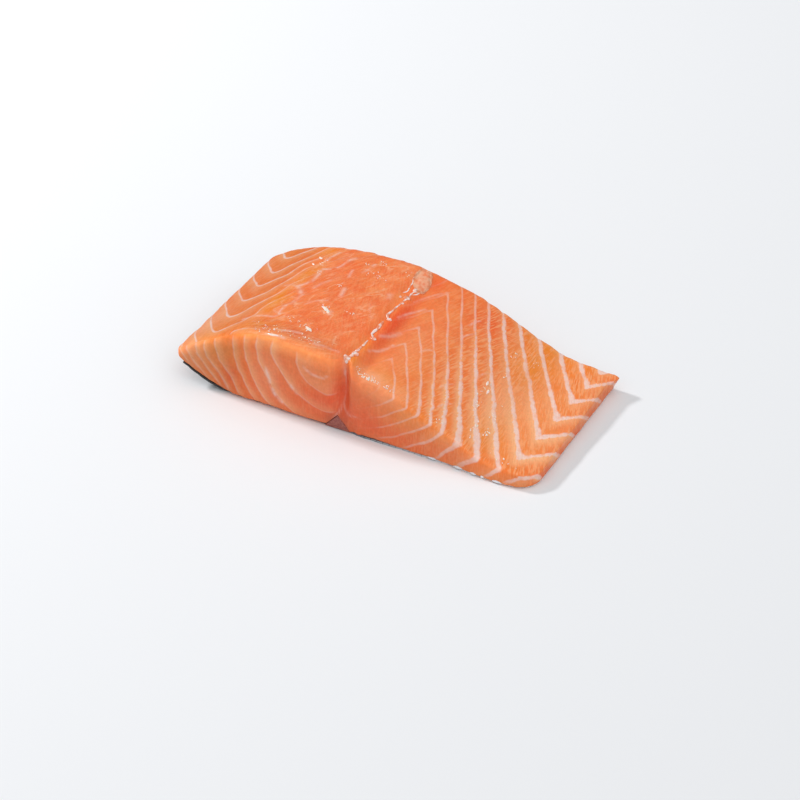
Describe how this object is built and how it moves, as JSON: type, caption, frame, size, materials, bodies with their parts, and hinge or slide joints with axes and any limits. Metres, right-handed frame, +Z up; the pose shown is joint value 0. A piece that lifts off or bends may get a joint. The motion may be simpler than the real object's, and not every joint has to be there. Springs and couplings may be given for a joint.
{
  "type": "raw salmon fillet",
  "caption": "Raw salmon fillet portion on its skin: thick back muscle at one end, a seam with a notch in the front cut, and a thin belly flap at the other end.",
  "frame": {"origin": "middle of the bounding box's bottom, on the board under the skin", "axes": "+X along the portion from the thick back muscle to the thin belly end, -Y the front cut face, +Z up"},
  "size_m": [0.1462, 0.07, 0.0315],
  "materials": {
    "flesh": "wet raw fish flesh, soft and translucent, with pale lines of connective tissue",
    "dark_muscle": "moist brown lateral muscle",
    "skin": "wet scaled fish skin, dark above and silver towards the belly"
  },
  "bodies": {
    "root": {"flesh": "flesh", "dark_muscle": "dark_muscle", "skin": "skin"}
  },
  "joints": []
}
